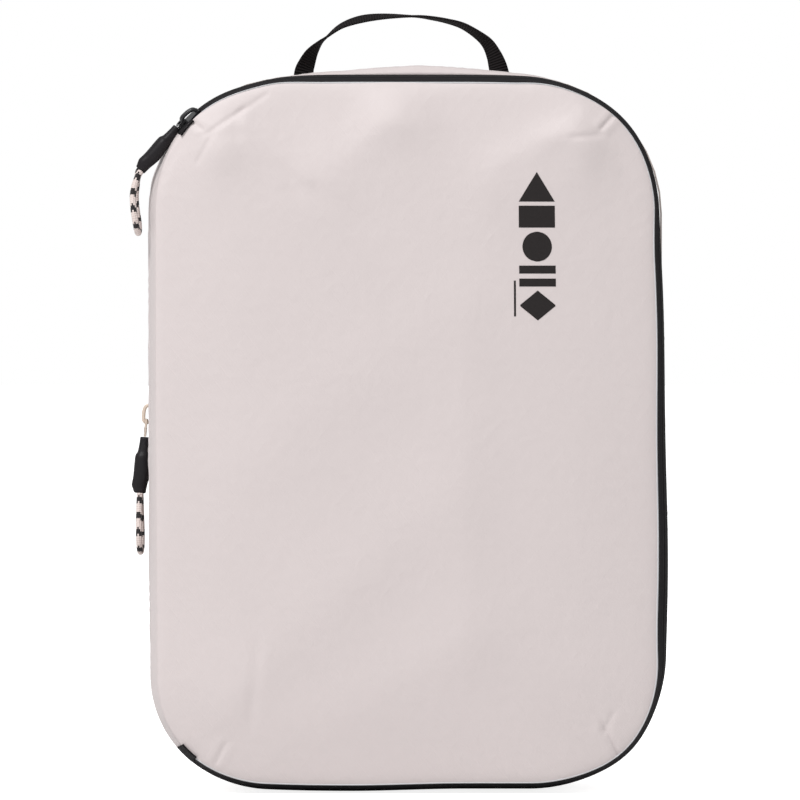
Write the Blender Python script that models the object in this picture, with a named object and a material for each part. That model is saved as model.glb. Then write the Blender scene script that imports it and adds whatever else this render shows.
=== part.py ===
"""Compression packing cube: a soft rectangular fabric case for folded clothes.

The case is two shallow fabric halves.  The back half is a flat back panel with a gusset.  The front
half is a narrower gusset with a domed lid, which opens on a black zip round three sides and folds on
its sewn left edge.  A second zip, in the body colour, joins the two halves: opened, it lets the front
half move forwards as far as the folded gusset behind it allows.

Metres, +Z up, front towards -Y, +X to the right as seen from the front.  The case stands on its bottom
gusset at z = 0.  The outline angle is 0 at the left (-X), 90 at the top, 180 at the right and 270 at
the bottom, and an inset is how far a point lies inside the outline of the gusset.
"""
from math import acos, cos, degrees, pi, radians, sin

import bmesh
import bpy
from mathutils import Matrix, Vector

# ---- Driving dimensions ------------------------------------------------------------------------
body_width = 0.260
body_height = 0.362
top_corner_radius = 0.070
bottom_right_radius = 0.068
bottom_left_radius = 0.059
back_face_y = 0.033
back_gusset_width = 0.036
front_gusset_width = 0.010
lid_dome = 0.009
cloth_thickness = 0.0012
seam_gap = 0.0003
# How far in from the left side the line lies on which the lid folds.
fold_inset = 0.0165

tape_thickness = 0.0008
compression_tape_width = 0.0045
main_tape_width = 0.0056
zip_slit = 0.0014
coil_width = 0.0018
coil_thickness = 0.0010
main_zip_slant = 0.0040
binding_width = 0.0020
binding_thickness = 0.0008
expansion_fold = 0.022
tape_end_gap = 0.0005
bottom_tab_length = 0.0082

slider_length = 0.0110
slider_width = 0.0084
# Half the slider's outline: along and across, as shares of its half length and half width.
slider_outline = ((-1.0, 0.8), (0.0, 1.0), (0.7, 1.0), (1.0, 0.5))
slider_plate = 0.0009
slider_clearance = 0.0003
coil_clearance = 0.0007
slider_web = 0.0008
# Where the web starts and ends, as shares of the slider's half length.
slider_web_span = (0.56, 0.9)
bridge_share = 0.84
bridge_width = 0.0024
bridge_wall = 0.0010
bridge_gap = 0.0020
bridge_chamfer = 0.0008
tab_width = 0.0054
tab_neck_width = 0.0032
tab_thickness = 0.0009
tab_length = 0.0085
main_tab_length = 0.0050
ring_share = 0.36
ring_chamfer = 0.0005
grip_length = 0.0280
grip_half_thickness = 0.0038
grip_half_width = 0.0042
grip_sides = 14
# The grip's outline: how far along it, and the share of its full section there.
grip_profile = ((0.0, 0.62), (0.10, 0.66), (0.24, 0.88), (0.36, 1.0), (0.62, 1.0), (0.82, 0.86),
                (0.97, 0.74), (1.0, 0.66))

main_slider_angle = 44.5
compression_slider_z = 0.1905
main_pull_angle = 4
compression_pull_angle = -5

cord_diameter = 0.0032
# The cords leave the foot of a grip, hang in a loop and go back into it.
main_cord_points = (
    (-0.1339, -0.0335, 0.3131), (-0.1350, -0.0338, 0.3117), (-0.1370, -0.0349, 0.3065),
    (-0.1380, -0.0362, 0.3005), (-0.1376, -0.0373, 0.2940), (-0.1367, -0.0372, 0.2882),
    (-0.1360, -0.0349, 0.2838), (-0.1356, -0.0312, 0.2821), (-0.1354, -0.0276, 0.2838),
    (-0.1358, -0.0253, 0.2882), (-0.1367, -0.0252, 0.2940), (-0.1371, -0.0263, 0.3005),
    (-0.1365, -0.0279, 0.3065), (-0.1357, -0.0289, 0.3125), (-0.1348, -0.0293, 0.3141),
)
compression_cord_points = (
    (-0.1358, -0.0122, 0.1503), (-0.1359, -0.0124, 0.1486), (-0.1361, -0.0136, 0.1420),
    (-0.1362, -0.0152, 0.1350), (-0.1361, -0.0160, 0.1285), (-0.1359, -0.0140, 0.1228),
    (-0.1356, -0.0100, 0.1203), (-0.1353, -0.0060, 0.1228), (-0.1353, -0.0040, 0.1285),
    (-0.1354, -0.0048, 0.1350), (-0.1356, -0.0064, 0.1420), (-0.1357, -0.0076, 0.1486),
    (-0.1358, -0.0078, 0.1503),
)

strap_width = 0.0100
strap_thickness = 0.0012
strap_clearance = 0.0005
handle_y = 0.012
handle_anchor_length = 0.014
# The handle's line: across from the middle of the case's top, up from the fold line, and the webbing's
# turn about its own length in degrees, 0 where its face looks forwards.
handle_route = (
    (-0.0530, 0.0006, 0), (-0.0490, 0.0105, 8), (-0.0390, 0.0200, 40), (-0.0260, 0.0262, 88),
    (-0.0090, 0.0292, 112), (0.0080, 0.0294, 98), (0.0240, 0.0262, 78), (0.0370, 0.0195, 50),
    (0.0450, 0.0100, 18), (0.0475, 0.0006, 0),
)

# ---- Sizes that follow -------------------------------------------------------------------------
half_width = body_width / 2
fold_line_x = fold_inset - half_width
cloth_back_y = back_face_y - cloth_thickness
back_gusset_y = (cloth_back_y - seam_gap, cloth_back_y - seam_gap - back_gusset_width)
back_tape_y = (back_gusset_y[1] - seam_gap, back_gusset_y[1] - seam_gap - compression_tape_width)
front_tape_y = (back_tape_y[1] - zip_slit, back_tape_y[1] - zip_slit - compression_tape_width)
compression_zip_y = back_tape_y[1] - zip_slit / 2
front_gusset_y = (front_tape_y[1] - seam_gap, front_tape_y[1] - seam_gap - front_gusset_width)
main_zip_width = 2 * main_tape_width + zip_slit
main_zip_depth = (main_zip_width ** 2 - main_zip_slant ** 2) ** 0.5
slant_cos = main_zip_depth / main_zip_width
slant_sin = main_zip_slant / main_zip_width
main_zip_back_y = front_gusset_y[1] - seam_gap - cloth_thickness * slant_sin
lid_edge_y = main_zip_back_y - main_zip_depth - seam_gap - cloth_thickness
lid_edge_inset = main_zip_slant
coil_drop = tape_thickness + seam_gap
inner_plate_drop = coil_drop + coil_thickness + coil_clearance

arc_steps = 10
corners = (
    (-half_width + top_corner_radius, body_height - top_corner_radius, top_corner_radius, 0),
    (half_width - top_corner_radius, body_height - top_corner_radius, top_corner_radius, 90),
    (half_width - bottom_right_radius, bottom_right_radius, bottom_right_radius, 180),
    (-half_width + bottom_left_radius, bottom_left_radius, bottom_left_radius, 270),
)
top_left, _, _, bottom_left = corners
zip_top_angle = degrees(acos((top_left[0] - fold_line_x) / (top_corner_radius - lid_edge_inset)))
zip_bottom_angle = 360 - degrees(
    acos((bottom_left[0] - fold_line_x) / (bottom_left_radius - lid_edge_inset)))
top_gap_angle = degrees(tape_end_gap / top_corner_radius)
bottom_gap_angle = degrees(tape_end_gap / bottom_left_radius)
slider_half_angle = degrees(slider_length / 2 / top_corner_radius)
end_tab_angle = main_slider_angle - slider_half_angle - top_gap_angle
lid_tape_angle = main_slider_angle + slider_half_angle + 2 * top_gap_angle
bottom_tab_angle = zip_bottom_angle - degrees(bottom_tab_length / bottom_left_radius)
hinge_side_angles = (zip_bottom_angle, 360 + zip_top_angle)
body_zip_angles = (end_tab_angle + top_gap_angle, bottom_tab_angle - bottom_gap_angle)
lid_zip_angles = (lid_tape_angle, bottom_tab_angle - bottom_gap_angle)
lid_hinge = (fold_line_x, lid_edge_y, 0)

bridge_base = slider_clearance + slider_plate + seam_gap
bridge_half_length = slider_length / 2 * bridge_share
ring_length = slider_length * ring_share
pin_height = bridge_base + bridge_gap - bridge_wall / 2 - tab_thickness / 2
pin_along = bridge_half_length - bridge_wall - tab_thickness / 2 - slider_clearance / 2

anchor_top = body_height + seam_gap + strap_thickness
fold_height = anchor_top + strap_clearance + strap_thickness / 2

# ---- Colours: base colour, roughness, metallic -------------------------------------------------
cloth_finish = (0.69, 0.62, 0.61), 0.55, 0.0
black_tape_finish = (0.024, 0.022, 0.025), 0.7, 0.0
cream_tape_finish = (0.66, 0.57, 0.52), 0.7, 0.0
black_enamel_finish = (0.02, 0.018, 0.02), 0.35, 0.3
cream_enamel_finish = (0.66, 0.56, 0.47), 0.4, 0.2
grip_finish = (0.032, 0.026, 0.027), 0.45, 0.0
webbing_finish = (0.019, 0.016, 0.017), 0.8, 0.0
cord_finish = (0.66, 0.57, 0.52), 0.8, 0.0


def clear_scene():
    for item in list(bpy.data.objects):
        bpy.data.objects.remove(item, do_unlink=True)


def coat(item, finish):
    """Give an object its own Principled material."""
    colour, roughness, metallic = finish
    material = bpy.data.materials.new(item.name + "_finish")
    material.use_nodes = True
    shader = material.node_tree.nodes["Principled BSDF"]
    shader.inputs["Base Color"].default_value = (*colour, 1)
    shader.inputs["Roughness"].default_value = roughness
    shader.inputs["Metallic"].default_value = metallic
    item.data.materials.append(material)


def place(name, mesh_data, finish, origin=(0, 0, 0), smooth_angle=35):
    """Make an object whose origin is at a point, from a bmesh in world coordinates."""
    bmesh.ops.recalc_face_normals(mesh_data, faces=mesh_data.faces)
    bmesh.ops.translate(mesh_data, verts=mesh_data.verts, vec=-Vector(origin))
    mesh = bpy.data.meshes.new(name)
    mesh_data.to_mesh(mesh)
    mesh_data.free()
    mesh.shade_smooth()
    mesh.set_sharp_from_angle(angle=radians(smooth_angle))
    item = bpy.data.objects.new(name, mesh)
    item.location = origin
    bpy.context.scene.collection.objects.link(item)
    coat(item, finish)
    return item


def loft(rings, closed=False):
    """Skin a row of equal rings of points, with end caps unless the row closes on itself."""
    shape = bmesh.new()
    rows = [[shape.verts.new(point) for point in ring] for ring in rings]
    sides = len(rows[0])
    pairs = list(zip(rows, rows[1:]))
    if closed:
        pairs.append((rows[-1], rows[0]))
    else:
        shape.faces.new(rows[0])
        shape.faces.new(reversed(rows[-1]))
    for here, there in pairs:
        for side in range(sides):
            after = (side + 1) % sides
            shape.faces.new((here[side], here[after], there[after], there[side]))
    return shape


def outline(first=0, last=360):
    """Stations of the case's outline between two angles: (corner centre, radius, angle)."""
    stations = []
    for turn in (0, 360):
        for x, z, radius, start in corners:
            low, high = max(first, start + turn), min(last, start + turn + 90)
            if low < high:
                steps = max(1, round(arc_steps * (high - low) / 90))
                for step in range(steps + 1):
                    stations.append((x, z, radius, low + (high - low) * step / steps))
    return stations


def outline_point(station, inset, y):
    x, z, radius, angle = station
    reach = radius - inset
    return Vector((x - reach * cos(radians(angle)), y, z + reach * sin(radians(angle))))


def sweep(name, section, finish, angles=(0, 360), origin=(0, 0, 0)):
    """Carry a section of (inset, y) points round the outline, closed when it goes all the way."""
    first, last = angles
    rings = [[outline_point(station, inset, y) for inset, y in section]
             for station in outline(first, last)]
    return place(name, loft(rings, closed=last - first == 360), finish, origin)


def flat_section(inset, thickness, y_range):
    """A strip parallel to the Y axis."""
    back, front = y_range
    return [(inset, back), (inset, front), (inset + thickness, front), (inset + thickness, back)]


def slanted(across, drop):
    """A point of the main zip's band, as (inset, y): across from its body seam, below its face."""
    return (across * slant_sin + drop * slant_cos, main_zip_back_y - across * slant_cos + drop * slant_sin)


def slanted_section(across_range, drop, thickness):
    """A strip that lies in the main zip's slanting band."""
    start, end = across_range
    return [slanted(start, drop), slanted(end, drop),
            slanted(end, drop + thickness), slanted(start, drop + thickness)]


def plate(outer, thickness, hole=None):
    """Extrude an outline of points in the XY plane by a thickness centred on z = 0."""
    shape = bmesh.new()
    half = thickness / 2
    loops = []
    for points in (outer, hole):
        if points is not None:
            low = [shape.verts.new((x, y, -half)) for x, y in points]
            high = [shape.verts.new((x, y, half)) for x, y in points]
            loops.append((low, high))
            for index in range(len(points)):
                after = (index + 1) % len(points)
                shape.faces.new((low[index], low[after], high[after], high[index]))
    for level in (0, 1):
        if hole is None:
            shape.faces.new(loops[0][level])
        else:
            count = len(outer)
            for index in range(count):
                after = (index + 1) % count
                shape.faces.new((loops[0][level][index], loops[0][level][after],
                                 loops[1][level][after], loops[1][level][index]))
    return shape


def smooth_route(points, gap):
    """Points about a gap apart on a smooth curve through a few chosen points.

    A fourth number in a point, if any, is carried along as smoothly.
    """
    chosen = [Vector(point) for point in points]
    padded = [2 * chosen[0] - chosen[1], *chosen, 2 * chosen[-1] - chosen[-2]]
    route = [chosen[0]]
    for index in range(1, len(padded) - 2):
        before, here, there, beyond = padded[index - 1:index + 3]
        steps = max(1, round((there - here).to_3d().length / gap))
        for step in range(1, steps + 1):
            t = step / steps
            route.append(0.5 * (2 * here + (there - before) * t
                                + (2 * before - 5 * here + 4 * there - beyond) * t ** 2
                                + (3 * here - before - 3 * there + beyond) * t ** 3))
    return route


# ---- Back half: panel, gusset, inner binding and its side of the compression zip ----------------
def back_panel():
    rings = [[outline_point(station, 0, y) for station in outline()]
             for y in (back_face_y, cloth_back_y)]
    place("back_panel", loft(rings), cloth_finish)


def back_gusset():
    sweep("back_gusset", flat_section(0, cloth_thickness, back_gusset_y), cloth_finish)
    inner = cloth_thickness + seam_gap
    middle = back_gusset_y[0] - binding_width / 2
    sweep("back_seam_binding", flat_section(inner, binding_thickness,
                                            (middle + binding_width / 2, middle - binding_width / 2)),
          cream_tape_finish)


def compression_zip():
    """Two tapes with a coil under each edge; the slit between them is where the slider's web runs."""
    back_edge, front_edge = back_tape_y[1], front_tape_y[0]
    sweep("compression_zip_back_tape", flat_section(0, tape_thickness, back_tape_y), cream_tape_finish)
    sweep("compression_zip_front_tape", flat_section(0, tape_thickness, front_tape_y),
          cream_tape_finish)
    sweep("compression_zip_back_coil",
          flat_section(coil_drop, coil_thickness, (back_edge + coil_width, back_edge)),
          cream_tape_finish)
    sweep("compression_zip_front_coil",
          flat_section(coil_drop, coil_thickness, (front_edge, front_edge - coil_width)),
          cream_tape_finish)


def expansion_gusset():
    """The ring of cloth that unfolds when the compression zip is opened, folded inwards at rest."""
    rear = back_gusset_y[1] + 2 * cloth_thickness
    front = front_gusset_y[0] - 2 * cloth_thickness
    outer = cloth_thickness + seam_gap
    inner = outer + expansion_fold
    section = [(outer, rear), (inner, rear), (inner, front), (outer, front),
               (outer, front + cloth_thickness), (inner - cloth_thickness, front + cloth_thickness),
               (inner - cloth_thickness, rear - cloth_thickness), (outer, rear - cloth_thickness)]
    sweep("expansion_gusset", section, cloth_finish)


# ---- Front half: gusset, hinge side of the lid and the body's side of the main zip ---------------
def front_gusset():
    sweep("front_gusset", flat_section(0, cloth_thickness, front_gusset_y), cloth_finish)
    inner = cloth_thickness + seam_gap
    sweep("front_seam_binding",
          flat_section(inner, binding_thickness, (front_gusset_y[1] + binding_width, front_gusset_y[1])),
          cream_tape_finish)


def hinge_side():
    """The sewn left side, between the two ends of the main zip: its gusset and the lid's fixed strip."""
    sweep("hinge_side_gusset", slanted_section((0, main_zip_width), 0, cloth_thickness), cloth_finish,
          hinge_side_angles)
    rings = []
    for y in (lid_edge_y, lid_edge_y + cloth_thickness):
        rings.append([outline_point(station, lid_edge_inset, y)
                      for station in outline(*hinge_side_angles)])
    place("lid_hinge_strip", loft(rings), cloth_finish)


def main_zip_body_side():
    tape = (0, main_tape_width)
    sweep("main_zip_body_tape", slanted_section(tape, 0, tape_thickness), black_tape_finish,
          body_zip_angles)
    coil = (main_tape_width - coil_width, main_tape_width)
    sweep("main_zip_body_coil", slanted_section(coil, coil_drop, coil_thickness), black_tape_finish,
          body_zip_angles)


def main_zip_end_tabs():
    """Folded black tabs that close the two ends of the main zip."""
    both_tapes = (0, main_zip_width)
    sweep("main_zip_top_end_tab", slanted_section(both_tapes, 0, cloth_thickness), black_tape_finish,
          (zip_top_angle + top_gap_angle, end_tab_angle))
    sweep("main_zip_bottom_end_tab", slanted_section(both_tapes, 0, cloth_thickness), black_tape_finish,
          (bottom_tab_angle, zip_bottom_angle - bottom_gap_angle))


# ---- Lid: domed panel, its binding and the lid's side of the main zip ---------------------------
def lid_panel():
    """A domed panel whose straight left edge is the fold line."""
    rim = [outline_point(station, lid_edge_inset, lid_edge_y)
           for station in outline(zip_top_angle, zip_bottom_angle)]
    fold_x = fold_line_x + seam_gap
    for point in rim:
        point.x = max(point.x, fold_x)
    centre = Vector((fold_x + (half_width - lid_edge_inset - fold_x) / 2, 0, body_height / 2))
    dome_steps = (0.0, 0.2, 0.45, 0.7, 0.88)
    rings = []
    for share in dome_steps:
        rise = lid_dome * (1 - (1 - share) ** 2) ** 0.5
        scale = 1 - share
        rings.append([Vector((centre.x + (point.x - centre.x) * scale, lid_edge_y - rise,
                              centre.z + (point.z - centre.z) * scale)) for point in rim])
    inner = [[point + Vector((0, cloth_thickness, 0)) for point in ring] for ring in rings]
    place("lid_panel", loft(inner[::-1] + rings), cloth_finish, lid_hinge)


def lid_zip_side():
    tape = (main_tape_width + zip_slit, main_zip_width)
    sweep("main_zip_lid_tape", slanted_section(tape, 0, tape_thickness), black_tape_finish,
          lid_zip_angles, lid_hinge)
    coil = (main_tape_width + zip_slit, main_tape_width + zip_slit + coil_width)
    sweep("main_zip_lid_coil", slanted_section(coil, coil_drop, coil_thickness), black_tape_finish,
          lid_zip_angles, lid_hinge)
    inset = lid_edge_inset + binding_width
    back = lid_edge_y + cloth_thickness + seam_gap + binding_thickness
    section = [(inset, back), (inset, back - binding_thickness),
               (inset + binding_width, back - binding_thickness), (inset + binding_width, back)]
    sweep("lid_seam_binding", section, cream_tape_finish, lid_zip_angles, lid_hinge)


# ---- Sliders and pulls --------------------------------------------------------------------------
def slider(prefix, frame, finish, origin):
    """Two plates joined by a web, with a bridge that holds the pull.

    The frame's X runs along the zip to its closed end, Y across it and Z out of its face.
    """
    half_length, half_across, half_web = slider_length / 2, slider_width / 2, slider_web / 2
    side = [(half_length * along, -half_across * across) for along, across in slider_outline]
    outer = side + [(x, -y) for x, y in reversed(side)]
    web_start, web_end = (half_length * share for share in slider_web_span)
    web = [(web_start, -half_web), (web_end, -half_web), (web_end, half_web), (web_start, half_web)]
    top_face, inner_face = slider_clearance, -inner_plate_drop
    levels = ((top_face + slider_plate / 2, slider_plate, outer),
              (inner_face - slider_plate / 2, slider_plate, outer),
              ((top_face + inner_face) / 2, top_face - inner_face + slider_plate, web))
    pieces = []
    for height, thickness, points in levels:
        shape = plate(points, thickness)
        bmesh.ops.transform(shape, matrix=frame @ Matrix.Translation((0, 0, height)), verts=shape.verts)
        pieces.append(place(prefix + "_slider_body", shape, finish, origin))
    for index, cutter in enumerate(pieces[1:]):
        cutter.name = f"{prefix}_slider_piece_{index}"
        cutter.hide_render = True
        cutter.display_type = "WIRE"
        union = pieces[0].modifiers.new("join", "BOOLEAN")
        union.operation = "UNION"
        union.solver = "EXACT"
        union.object = cutter
    low, high, end = bridge_base, bridge_base + bridge_gap + bridge_wall, bridge_half_length
    chamfer, wall = bridge_chamfer, bridge_wall
    arch = [(-end, low), (-end, high - chamfer), (-end + chamfer, high), (end - chamfer, high),
            (end, high - chamfer), (end, low), (end - wall, low), (end - wall, high - wall),
            (-end + wall, high - wall), (-end + wall, low)]
    shape = plate(arch, bridge_width)
    upright = Matrix.Rotation(radians(90), 4, "X")
    bmesh.ops.transform(shape, matrix=frame @ upright, verts=shape.verts)
    place(prefix + "_slider_bridge", shape, finish, origin)


def pull(prefix, pin, length, finish):
    """A cast tab whose ring holds the bridge, and the grip moulded on its end.

    The pin's X runs down the pull and its Y along the pin.
    """
    half, bar, neck = tab_width / 2, tab_thickness / 2, tab_neck_width / 2
    side, corner = half - bridge_wall, ring_length - ring_chamfer
    outer = [(-bar, -half), (ring_length, -half), (length, -neck), (length, neck), (ring_length, half),
             (-bar, half)]
    hole = [(bar, -side), (corner, -side), (ring_length, ring_chamfer - side),
            (ring_length, side - ring_chamfer), (corner, side), (bar, side)]
    shape = plate(outer, tab_thickness, hole)
    bmesh.ops.transform(shape, matrix=pin, verts=shape.verts)
    place(prefix + "_pull_tab", shape, finish, pin.translation)

    start = length + seam_gap
    rings = []
    for along, size in grip_profile:
        ring = []
        for index in range(grip_sides):
            turn = 2 * pi * index / grip_sides
            ring.append(pin @ Vector((start + along * grip_length,
                                      grip_half_width * size * cos(turn),
                                      grip_half_thickness * size * sin(turn))))
        rings.append(ring)
    place(prefix + "_pull_grip", loft(rings), grip_finish, pin.translation)


def cord(name, points, origin):
    """A round cord as a tube along a smooth route through its chosen points."""
    curve = bpy.data.curves.new(name, "CURVE")
    curve.dimensions = "3D"
    curve.bevel_depth = cord_diameter / 2
    curve.bevel_resolution = 2
    curve.use_fill_caps = True
    spline = curve.splines.new("POLY")
    route = smooth_route(points, 1.25 * cord_diameter)
    spline.points.add(len(route) - 1)
    for knot, point in zip(spline.points, route):
        knot.co = (*(point - origin), 1)
    item = bpy.data.objects.new(name, curve)
    item.location = origin
    bpy.context.scene.collection.objects.link(item)
    coat(item, cord_finish)


def frame_from(origin, along, out):
    """A frame at an origin with X along a direction and Z as near as can be to another."""
    x_axis = Vector(along).normalized()
    z_axis = (Vector(out) - Vector(out).dot(x_axis) * x_axis).normalized()
    y_axis = z_axis.cross(x_axis)
    frame = Matrix((x_axis, y_axis, z_axis)).transposed().to_4x4()
    frame.translation = origin
    return frame


def swung(frame, angle):
    """The pull's frame: at the slider's pin, turned about the pin by an angle."""
    return frame @ Matrix.Translation((pin_along, 0, pin_height)) @ Matrix.Rotation(radians(angle), 4, "Y")


def main_slider_frame():
    station = (*top_left[:3], main_slider_angle)
    centre = outline_point(station, *slanted(main_zip_width / 2, 0))
    deeper = outline_point(station, *slanted(main_zip_width / 2, tape_thickness))
    turn = radians(main_slider_angle)
    return frame_from(centre, (-sin(turn), 0, -cos(turn)), centre - deeper)


def compression_slider_frame():
    centre = Vector((-half_width, compression_zip_y, compression_slider_z))
    return frame_from(centre, (0, 0, -1), (-1, 0, 0))


def main_slider_and_pull():
    frame = main_slider_frame()
    corner_x, corner_z, _, _ = top_left
    slider("main", frame, black_enamel_finish, (corner_x, frame.translation.y, corner_z))
    pin = swung(frame, main_pull_angle)
    pull("main", pin, main_tab_length, black_enamel_finish)
    cord("main_pull_cord", main_cord_points, pin.translation)


def compression_slider_and_pull():
    frame = compression_slider_frame()
    slider("compression", frame, cream_enamel_finish, frame.translation)
    pin = swung(frame, compression_pull_angle)
    pull("compression", pin, tab_length, cream_enamel_finish)
    cord("compression_pull_cord", compression_cord_points, pin.translation)


# ---- Carrying handle ----------------------------------------------------------------------------
def handle():
    ends = handle_route[0][0], handle_route[-1][0]
    for side, across in zip(("left", "right"), ends):
        shape = plate([(across - strap_width / 2, handle_y - handle_anchor_length / 2),
                       (across + strap_width / 2, handle_y - handle_anchor_length / 2),
                       (across + strap_width / 2, handle_y + handle_anchor_length / 2),
                       (across - strap_width / 2, handle_y + handle_anchor_length / 2)],
                      strap_thickness)
        height = body_height + seam_gap + strap_thickness / 2
        bmesh.ops.translate(shape, verts=shape.verts, vec=(0, 0, height))
        place(f"handle_{side}_anchor", shape, webbing_finish)

    stations = smooth_route([(across, 0, up, turn) for across, up, turn in handle_route], 0.006)
    rings = []
    for index, station in enumerate(stations):
        before, after = stations[max(index - 1, 0)], stations[min(index + 1, len(stations) - 1)]
        along = Vector((after.x - before.x, 0, after.z - before.z)).normalized()
        turn = radians(station.w)
        in_plane = Vector((0, -1, 0)).cross(along)
        wide = in_plane * cos(turn) + Vector((0, -1, 0)) * sin(turn)
        thick = wide.cross(along)
        centre = Vector((station.x, handle_y, fold_height + station.z))
        if index in (0, len(stations) - 1):
            wide, thick = Vector((wide.x, 0, 0)).normalized(), Vector((0, 1, 0))
        half_wide, half_thick = wide * strap_width / 2, thick * strap_thickness / 2
        rings.append([centre + half_wide + half_thick, centre - half_wide + half_thick,
                      centre - half_wide - half_thick, centre + half_wide - half_thick])
    place("handle_webbing", loft(rings), webbing_finish, origin=(0, handle_y, fold_height))


clear_scene()
back_panel()
back_gusset()
compression_zip()
expansion_gusset()
front_gusset()
hinge_side()
main_zip_body_side()
main_zip_end_tabs()
lid_panel()
lid_zip_side()
main_slider_and_pull()
compression_slider_and_pull()
handle()
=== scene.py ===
"""A compression packing cube, standing upright: the looks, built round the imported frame.

Metres, +Z up, front towards -Y.  The pieces come in the order in which the case is put together.
"""
from math import acos, cos, degrees, exp, hypot, pi, radians, sin, tau

import bpy
import numpy as np
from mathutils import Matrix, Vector


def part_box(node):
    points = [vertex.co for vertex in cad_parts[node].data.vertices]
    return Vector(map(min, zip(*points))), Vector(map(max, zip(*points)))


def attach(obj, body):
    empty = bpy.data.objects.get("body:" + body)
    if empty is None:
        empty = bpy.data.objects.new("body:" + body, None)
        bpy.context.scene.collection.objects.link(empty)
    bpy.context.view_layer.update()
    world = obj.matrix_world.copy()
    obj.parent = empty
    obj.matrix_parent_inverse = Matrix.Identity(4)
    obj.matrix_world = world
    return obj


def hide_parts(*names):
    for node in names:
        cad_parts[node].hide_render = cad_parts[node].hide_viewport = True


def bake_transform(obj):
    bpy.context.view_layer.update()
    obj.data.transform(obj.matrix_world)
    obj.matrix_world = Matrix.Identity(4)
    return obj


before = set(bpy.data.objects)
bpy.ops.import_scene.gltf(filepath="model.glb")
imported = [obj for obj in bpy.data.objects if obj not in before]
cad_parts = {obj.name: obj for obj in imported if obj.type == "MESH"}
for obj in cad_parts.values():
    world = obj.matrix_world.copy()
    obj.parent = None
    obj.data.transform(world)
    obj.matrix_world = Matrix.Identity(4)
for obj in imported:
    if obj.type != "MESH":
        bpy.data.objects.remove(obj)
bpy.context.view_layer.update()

# ---- Studio ------------------------------------------------------------------------------------
# A pale floor in front of plain white surroundings, a large soft light from the upper left, and a long
# lens a little above the middle of the case.
standing_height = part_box("back_gusset")[1].z
aim = Vector((-0.0037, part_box("main_zip_body_tape")[0].y, 0.1979))
camera_distance = 2.6
camera_rise = radians(1.0)
field_width = 0.4032

camera = bpy.data.objects.new("camera", bpy.data.cameras.new("camera"))
bpy.context.scene.collection.objects.link(camera)
camera.location = aim + camera_distance * Vector((0, -cos(camera_rise), sin(camera_rise)))
camera.rotation_euler = (aim - camera.location).to_track_quat("-Z", "Y").to_euler()
camera.data.sensor_width = 36
camera.data.lens = camera.data.sensor_width * camera_distance / field_width
camera.data.clip_end = 50
bpy.context.scene.camera = camera
bpy.context.scene.view_settings.view_transform = "Standard"

surroundings = bpy.data.worlds.new("white_surroundings")
surroundings.use_nodes = True
surroundings.node_tree.nodes["Background"].inputs["Color"].default_value = (1, 1, 1, 1)
seen_directly = surroundings.node_tree.nodes.new("ShaderNodeLightPath")
brightness = surroundings.node_tree.nodes.new("ShaderNodeMapRange")
brightness.inputs["To Min"].default_value = 0.45
brightness.inputs["To Max"].default_value = 1.0
surroundings.node_tree.links.new(seen_directly.outputs["Is Camera Ray"], brightness.inputs["Value"])
surroundings.node_tree.links.new(
    brightness.outputs["Result"], surroundings.node_tree.nodes["Background"].inputs["Strength"])
bpy.context.scene.world = surroundings


def soft_light(name, place, size, power):
    light = bpy.data.lights.new(name, "AREA")
    light.size = size
    light.energy = power
    lamp = bpy.data.objects.new(name, light)
    lamp.location = place
    lamp.rotation_euler = (aim - Vector(place)).to_track_quat("-Z", "Y").to_euler()
    bpy.context.scene.collection.objects.link(lamp)


soft_light("key_light", place=(-1.80, -2.90, 4.20), size=1.6, power=243)


class Strand:
    """A number or a vector that changes over a surface: one socket of a finish's nodes."""

    def __init__(self, finish, socket):
        self.finish = finish
        self.socket = socket

    def maths(self, operation, first, second=0.0):
        return self.finish.node("ShaderNodeMath", {"operation": operation}, {0: first, 1: second})

    def __add__(self, other):
        return self.maths("ADD", self, other)

    def __radd__(self, other):
        return self.maths("ADD", other, self)

    def __sub__(self, other):
        return self.maths("SUBTRACT", self, other)

    def __rsub__(self, other):
        return self.maths("SUBTRACT", other, self)

    def __mul__(self, other):
        return self.maths("MULTIPLY", self, other)

    def __rmul__(self, other):
        return self.maths("MULTIPLY", other, self)

    def __truediv__(self, other):
        return self.maths("DIVIDE", self, other)

    def __lt__(self, other):
        return self.maths("LESS_THAN", self, other)

    def __abs__(self):
        return self.maths("ABSOLUTE", self)

    def fraction(self):
        return self.maths("FRACT", self)

    def wave(self):
        return self.maths("SINE", self * tau)

    def most(self, other):
        return self.maths("MAXIMUM", self, other)

    def snapped(self, step):
        return self.maths("SNAP", self, step)


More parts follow.
